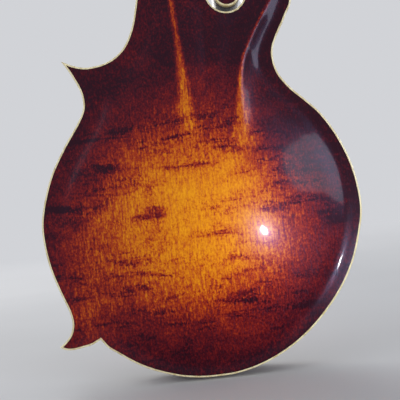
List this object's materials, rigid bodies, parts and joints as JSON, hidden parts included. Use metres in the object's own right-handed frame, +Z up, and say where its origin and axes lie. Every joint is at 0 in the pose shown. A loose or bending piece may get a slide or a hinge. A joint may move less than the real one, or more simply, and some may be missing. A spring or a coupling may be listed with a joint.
{
  "type": "f-style mandolin",
  "caption": "Carved-top string instrument with a scroll, points, f-shaped sound holes, a floating bridge, geared tuners and a hinged tailpiece cover.",
  "frame": {"origin": "on the outer face of the tailpiece's flange, on the body's centre line and halfway through the ribs", "axes": "+Z up from the tail to the headstock, +X to the treble side, +Y out of the back"},
  "size_m": [0.2569, 0.1183, 0.6814],
  "materials": {
    "maple_back": "gloss sunburst varnish over curly maple",
    "maple_ribs": "gloss dark red-brown varnish over maple",
    "spruce_top": "gloss sunburst varnish over spruce",
    "maple_neck": "gloss dark red-brown varnish over maple",
    "bare_wood": "bare",
    "ivoroid": "polished cream",
    "ebony": "oiled satin",
    "black_lacquer": "gloss black",
    "bone": "polished bone",
    "nickel": "polished nickel plate",
    "steel": "plain",
    "bronze": "wound bronze",
    "pearl": "pearloid",
    "tortoise": "gloss tortoise shell"
  },
  "bodies": {
    "body_and_neck": {"top_plate": "spruce_top", "back_plate": "maple_back", "ribs": "maple_ribs", "head_block": "bare_wood", "tail_block": "bare_wood", "upper_point_block": "bare_wood", "lower_point_block": "bare_wood", "treble_top_lining": "bare_wood", "treble_back_lining": "bare_wood", "bass_top_lining": "bare_wood", "bass_back_lining": "bare_wood", "bass_tone_bar": "bare_wood", "treble_tone_bar": "bare_wood", "top_binding": "ivoroid", "back_binding": "ivoroid", "headstock_binding": "ivoroid", "fingerboard_binding": "ivoroid", "neck": "maple_neck", "fingerboard": "ebony", "bridge_base": "ebony", "headstock_veneer": "black_lacquer", "truss_rod_cover": "black_lacquer", "nut": "bone", "bass_tuner_plate": "nickel", "treble_tuner_plate": "nickel", "tailpiece_base": "nickel", "tailpiece_hinge_pin": "nickel", "pickguard_bracket": "nickel", "truss_rod": "steel", "string_a1": "steel", "string_a2": "steel", "string_e1": "steel", "string_e2": "steel", "string_g1": "bronze", "string_g2": "bronze", "string_d1": "bronze", "string_d2": "bronze", "pickguard": "tortoise"},
    "saddle": {"bridge_saddle": "ebony"},
    "bass_wheel": {"bass_thumbwheel": "nickel"},
    "treble_wheel": {"treble_thumbwheel": "nickel"},
    "tailpiece_lid": {"tailpiece_cover": "nickel"},
    "knob_g1": {"tuner_knob_g1": "pearl"},
    "post_g1": {"tuner_post_g1": "nickel"},
    "knob_g2": {"tuner_knob_g2": "pearl"},
    "post_g2": {"tuner_post_g2": "nickel"},
    "knob_d1": {"tuner_knob_d1": "pearl"},
    "post_d1": {"tuner_post_d1": "nickel"},
    "knob_d2": {"tuner_knob_d2": "pearl"},
    "post_d2": {"tuner_post_d2": "nickel"},
    "knob_a1": {"tuner_knob_a1": "pearl"},
    "post_a1": {"tuner_post_a1": "nickel"},
    "knob_a2": {"tuner_knob_a2": "pearl"},
    "post_a2": {"tuner_post_a2": "nickel"},
    "knob_e1": {"tuner_knob_e1": "pearl"},
    "post_e1": {"tuner_post_e1": "nickel"},
    "knob_e2": {"tuner_knob_e2": "pearl"},
    "post_e2": {"tuner_post_e2": "nickel"}
  },
  "joints": [
    {"name": "saddle_height", "type": "slide", "parent": "body_and_neck", "child": "saddle", "axis": [0, 1, 0], "range_m": [0, 0.0012]},
    {"name": "bass_wheel_spin", "type": "hinge", "parent": "saddle", "child": "bass_wheel", "pos_m": [-0.032, -0.046, 0.1708], "axis": [0, 1, 0], "range_deg": [0, 540]},
    {"name": "treble_wheel_spin", "type": "hinge", "parent": "saddle", "child": "treble_wheel", "pos_m": [0.032, -0.046, 0.1708], "axis": [0, 1, 0], "range_deg": [0, 540]},
    {"name": "tailpiece_lid_swing", "type": "hinge", "parent": "body_and_neck", "child": "tailpiece_lid", "pos_m": [0, -0.029, 0.00814], "axis": [1, 0, 0], "range_deg": [0, 95]},
    {"name": "knob_g1_turn", "type": "hinge", "parent": "body_and_neck", "child": "knob_g1", "pos_m": [-0.018, 0.03393, 0.58158], "axis": [1, 0, 0], "continuous": true},
    {"name": "post_g1_turn", "type": "hinge", "parent": "body_and_neck", "child": "post_g1", "pos_m": [-0.018, 0.02726, 0.57627], "axis": [0, 0.9444, -0.3289], "continuous": true},
    {"name": "knob_g2_turn", "type": "hinge", "parent": "body_and_neck", "child": "knob_g2", "pos_m": [-0.018, 0.02636, 0.55986], "axis": [1, 0, 0], "continuous": true},
    {"name": "post_g2_turn", "type": "hinge", "parent": "body_and_neck", "child": "post_g2", "pos_m": [-0.018, 0.0197, 0.55455], "axis": [0, 0.9444, -0.3289], "continuous": true},
    {"name": "knob_d1_turn", "type": "hinge", "parent": "body_and_neck", "child": "knob_d1", "pos_m": [-0.018, 0.04906, 0.62502], "axis": [1, 0, 0], "continuous": true},
    {"name": "post_d1_turn", "type": "hinge", "parent": "body_and_neck", "child": "post_d1", "pos_m": [-0.018, 0.04239, 0.61972], "axis": [0, 0.9444, -0.3289], "continuous": true},
    {"name": "knob_d2_turn", "type": "hinge", "parent": "body_and_neck", "child": "knob_d2", "pos_m": [-0.018, 0.04149, 0.6033], "axis": [1, 0, 0], "continuous": true},
    {"name": "post_d2_turn", "type": "hinge", "parent": "body_and_neck", "child": "post_d2", "pos_m": [-0.018, 0.03483, 0.598], "axis": [0, 0.9444, -0.3289], "continuous": true},
    {"name": "knob_a1_turn", "type": "hinge", "parent": "body_and_neck", "child": "knob_a1", "pos_m": [0.018, 0.04906, 0.62502], "axis": [1, 0, 0], "continuous": true},
    {"name": "post_a1_turn", "type": "hinge", "parent": "body_and_neck", "child": "post_a1", "pos_m": [0.018, 0.04239, 0.61972], "axis": [0, 0.9444, -0.3289], "continuous": true},
    {"name": "knob_a2_turn", "type": "hinge", "parent": "body_and_neck", "child": "knob_a2", "pos_m": [0.018, 0.04149, 0.6033], "axis": [1, 0, 0], "continuous": true},
    {"name": "post_a2_turn", "type": "hinge", "parent": "body_and_neck", "child": "post_a2", "pos_m": [0.018, 0.03483, 0.598], "axis": [0, 0.9444, -0.3289], "continuous": true},
    {"name": "knob_e1_turn", "type": "hinge", "parent": "body_and_neck", "child": "knob_e1", "pos_m": [0.018, 0.03393, 0.58158], "axis": [1, 0, 0], "continuous": true},
    {"name": "post_e1_turn", "type": "hinge", "parent": "body_and_neck", "child": "post_e1", "pos_m": [0.018, 0.02726, 0.57627], "axis": [0, 0.9444, -0.3289], "continuous": true},
    {"name": "knob_e2_turn", "type": "hinge", "parent": "body_and_neck", "child": "knob_e2", "pos_m": [0.018, 0.02636, 0.55986], "axis": [1, 0, 0], "continuous": true},
    {"name": "post_e2_turn", "type": "hinge", "parent": "body_and_neck", "child": "post_e2", "pos_m": [0.018, 0.0197, 0.55455], "axis": [0, 0.9444, -0.3289], "continuous": true}
  ],
  "couplings": [
    {"joint": "bass_wheel_spin", "follows": "saddle_height", "rad_per_m": 7854},
    {"joint": "treble_wheel_spin", "follows": "saddle_height", "rad_per_m": 7854},
    {"joint": "post_g1_turn", "follows": "knob_g1_turn", "ratio": -0.083333},
    {"joint": "post_g2_turn", "follows": "knob_g2_turn", "ratio": -0.083333},
    {"joint": "post_d1_turn", "follows": "knob_d1_turn", "ratio": -0.083333},
    {"joint": "post_d2_turn", "follows": "knob_d2_turn", "ratio": -0.083333},
    {"joint": "post_a1_turn", "follows": "knob_a1_turn", "ratio": -0.083333},
    {"joint": "post_a2_turn", "follows": "knob_a2_turn", "ratio": -0.083333},
    {"joint": "post_e1_turn", "follows": "knob_e1_turn", "ratio": -0.083333},
    {"joint": "post_e2_turn", "follows": "knob_e2_turn", "ratio": -0.083333}
  ]
}
